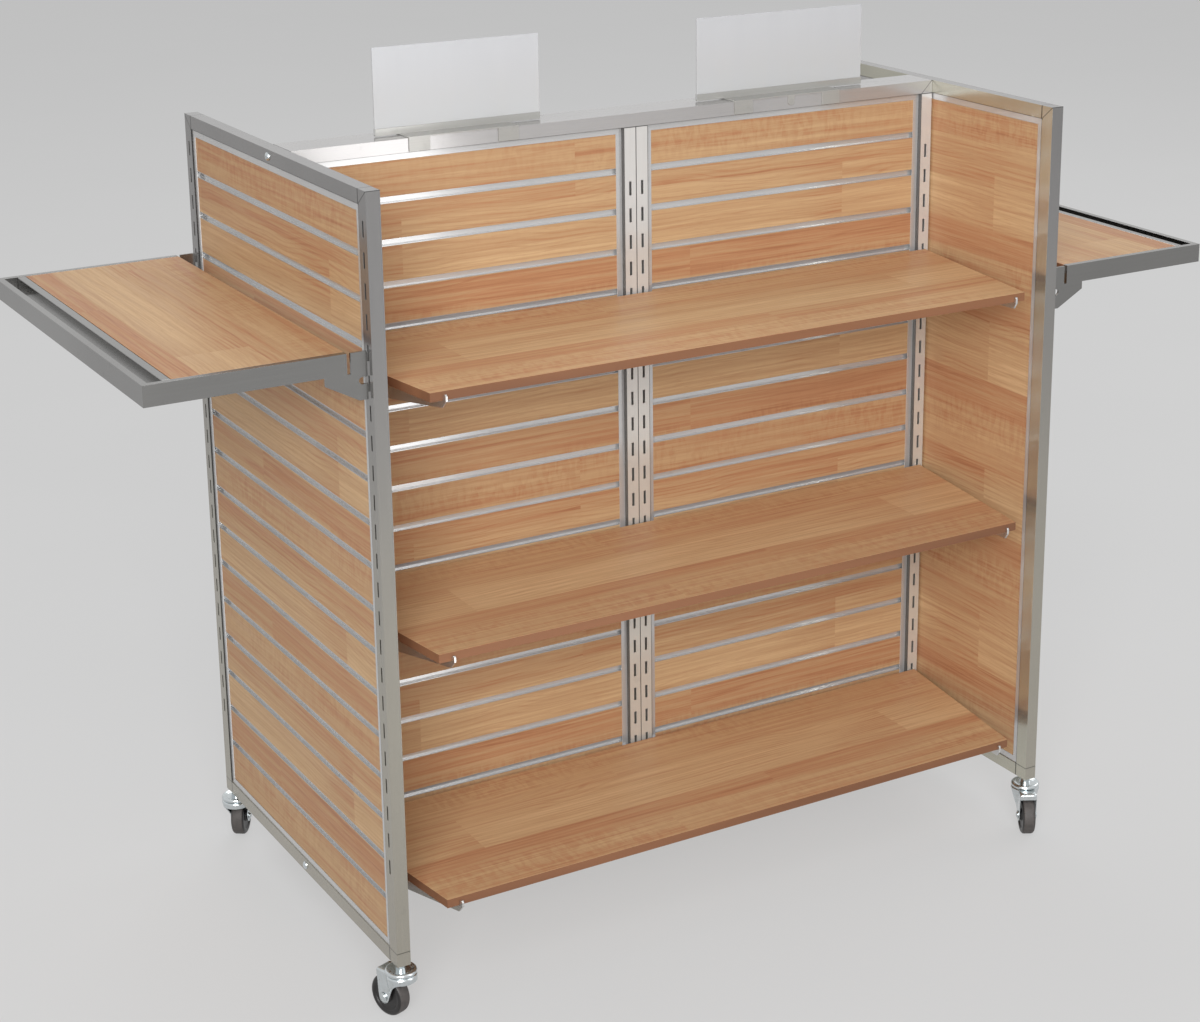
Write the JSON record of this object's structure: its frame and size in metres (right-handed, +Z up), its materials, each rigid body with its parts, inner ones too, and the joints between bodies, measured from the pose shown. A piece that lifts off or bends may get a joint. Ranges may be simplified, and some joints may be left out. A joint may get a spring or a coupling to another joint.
{
  "type": "gondola shelving",
  "caption": "Double-sided gondola shelving on swivel castors: slotted steel frames, grooved wood panels, hook-on shelves, end trays and sliding sign plates on the top rail.",
  "frame": {"origin": "middle of the footprint, on the floor under the castors", "axes": "+X along the length, +Y towards the rear side, +Z up"},
  "size_m": [2.124, 0.8928, 1.607],
  "materials": {
    "satin_steel": "satin",
    "aluminium_trim": "satin",
    "wood_laminate": "reddish-brown wood laminate, satin",
    "sign_white": "pale grey-white, smooth",
    "bright_zinc": "bright zinc",
    "dark_rubber": "black moulded"
  },
  "bodies": {
    "frame": {"centre_frame": "satin_steel", "front_left_castor_stem": "bright_zinc", "front_left_edging": "aluminium_trim", "front_left_panel": "wood_laminate", "front_right_castor_stem": "bright_zinc", "front_right_edging": "aluminium_trim", "front_right_panel": "wood_laminate", "front_shelf_1": "wood_laminate", "front_shelf_1_left_bracket": "satin_steel", "front_shelf_1_right_bracket": "satin_steel", "front_shelf_2": "wood_laminate", "front_shelf_2_left_bracket": "satin_steel", "front_shelf_2_right_bracket": "satin_steel", "front_shelf_3": "wood_laminate", "front_shelf_3_left_bracket": "satin_steel", "front_shelf_3_right_bracket": "satin_steel", "left_bottom_bolt": "bright_zinc", "left_end_edging": "aluminium_trim", "left_end_frame": "satin_steel", "left_end_panel": "wood_laminate", "left_top_bolt": "bright_zinc", "left_tray_board": "wood_laminate", "left_tray_frame": "satin_steel", "left_tray_inner_bar": "satin_steel", "rear_left_castor_stem": "bright_zinc", "rear_left_edging": "aluminium_trim", "rear_left_panel": "wood_laminate", "rear_right_castor_stem": "bright_zinc", "rear_right_edging": "aluminium_trim", "rear_right_panel": "wood_laminate", "rear_shelf_1": "wood_laminate", "rear_shelf_1_left_bracket": "satin_steel", "rear_shelf_1_right_bracket": "satin_steel", "rear_shelf_2": "wood_laminate", "rear_shelf_2_left_bracket": "satin_steel", "rear_shelf_2_right_bracket": "satin_steel", "rear_shelf_3": "wood_laminate", "rear_shelf_3_left_bracket": "satin_steel", "rear_shelf_3_right_bracket": "satin_steel", "right_bottom_bolt": "bright_zinc", "right_end_edging": "aluminium_trim", "right_end_frame": "satin_steel", "right_end_panel": "wood_laminate", "right_top_bolt": "bright_zinc", "right_tray_board": "wood_laminate", "right_tray_frame": "satin_steel", "right_tray_inner_bar": "satin_steel"},
    "front_left_castor_fork": {"front_left_castor_fork": "bright_zinc"},
    "front_left_castor_wheel": {"front_left_castor_wheel": "dark_rubber"},
    "front_right_castor_fork": {"front_right_castor_fork": "bright_zinc"},
    "front_right_castor_wheel": {"front_right_castor_wheel": "dark_rubber"},
    "rear_left_castor_fork": {"rear_left_castor_fork": "bright_zinc"},
    "rear_left_castor_wheel": {"rear_left_castor_wheel": "dark_rubber"},
    "rear_right_castor_fork": {"rear_right_castor_fork": "bright_zinc"},
    "rear_right_castor_wheel": {"rear_right_castor_wheel": "dark_rubber"},
    "left_sign_holder": {"left_sign_holder": "satin_steel"},
    "left_sign_plate": {"left_sign_plate": "sign_white"},
    "right_sign_holder": {"right_sign_holder": "satin_steel"},
    "right_sign_plate": {"right_sign_plate": "sign_white"}
  },
  "joints": [
    {"name": "front_left_castor_swivel", "type": "hinge", "parent": "frame", "child": "front_left_castor_fork", "pos_m": [-0.6805, -0.385, 0.0823], "axis": [0, 0, 1], "continuous": true},
    {"name": "front_left_wheel_spin", "type": "hinge", "parent": "front_left_castor_fork", "child": "front_left_castor_wheel", "pos_m": [-0.68962, -0.35852, 0.0375], "axis": [-0.9455, -0.3256, 0], "continuous": true},
    {"name": "front_right_castor_swivel", "type": "hinge", "parent": "frame", "child": "front_right_castor_fork", "pos_m": [0.6805, -0.385, 0.0823], "axis": [0, 0, 1], "continuous": true},
    {"name": "front_right_wheel_spin", "type": "hinge", "parent": "front_right_castor_fork", "child": "front_right_castor_wheel", "pos_m": [0.66692, -0.40949, 0.0375], "axis": [0.8746, -0.4848, 0], "continuous": true},
    {"name": "rear_left_castor_swivel", "type": "hinge", "parent": "frame", "child": "rear_left_castor_fork", "pos_m": [-0.6805, 0.385, 0.0823], "axis": [0, 0, 1], "continuous": true},
    {"name": "rear_left_wheel_spin", "type": "hinge", "parent": "rear_left_castor_fork", "child": "rear_left_castor_wheel", "pos_m": [-0.66444, 0.40794, 0.0375], "axis": [-0.8192, 0.5736, 0], "continuous": true},
    {"name": "rear_right_castor_swivel", "type": "hinge", "parent": "frame", "child": "rear_right_castor_fork", "pos_m": [0.6805, 0.385, 0.0823], "axis": [0, 0, 1], "continuous": true},
    {"name": "rear_right_wheel_spin", "type": "hinge", "parent": "rear_right_castor_fork", "child": "rear_right_castor_wheel", "pos_m": [0.69407, 0.40949, 0.0375], "axis": [-0.8746, 0.4848, 0], "continuous": true},
    {"name": "left_sign_slide", "type": "slide", "parent": "frame", "child": "left_sign_holder", "axis": [1, 0, 0], "range_m": [-0.12, 0.12]},
    {"name": "left_sign_lift", "type": "slide", "parent": "left_sign_holder", "child": "left_sign_plate", "axis": [0, 0, 1], "range_m": [0, 0.01]},
    {"name": "right_sign_slide", "type": "slide", "parent": "frame", "child": "right_sign_holder", "axis": [1, 0, 0], "range_m": [-0.12, 0.12]},
    {"name": "right_sign_lift", "type": "slide", "parent": "right_sign_holder", "child": "right_sign_plate", "axis": [0, 0, 1], "range_m": [0, 0.01]}
  ]
}
